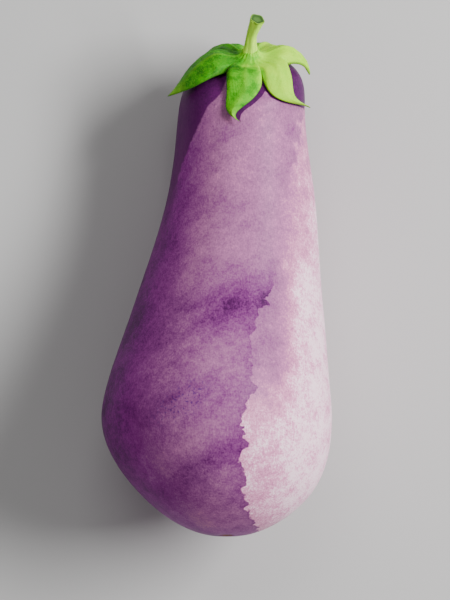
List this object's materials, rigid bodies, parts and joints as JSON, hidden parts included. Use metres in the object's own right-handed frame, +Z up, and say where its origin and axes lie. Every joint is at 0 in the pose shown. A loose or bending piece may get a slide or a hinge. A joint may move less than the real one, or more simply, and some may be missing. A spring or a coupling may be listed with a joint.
{
  "type": "eggplant",
  "caption": "Ripe purple eggplant lying on its side, with a broad belly, a tapering neck, a lobed green calyx and a short cut stem.",
  "frame": {"origin": "centre of the small flat spot under the belly that the eggplant rests on", "axes": "+Z up off the surface, +Y along the eggplant towards its stem, +X to the right with the stem pointing away"},
  "size_m": [0.1, 0.2248, 0.1006],
  "materials": {
    "fruit_skin": "satin waxy skin, dark violet on one side, mauve in the middle and pale lilac on the other",
    "calyx_green": "matte fleshy leaf, saturated green to pale yellow-green, with fine veins",
    "stem_green": "matte ribbed stalk, pale yellow-green, with a grey-green cut end"
  },
  "bodies": {
    "root": {"fruit": "fruit_skin", "calyx": "calyx_green", "stem": "stem_green"}
  },
  "joints": []
}
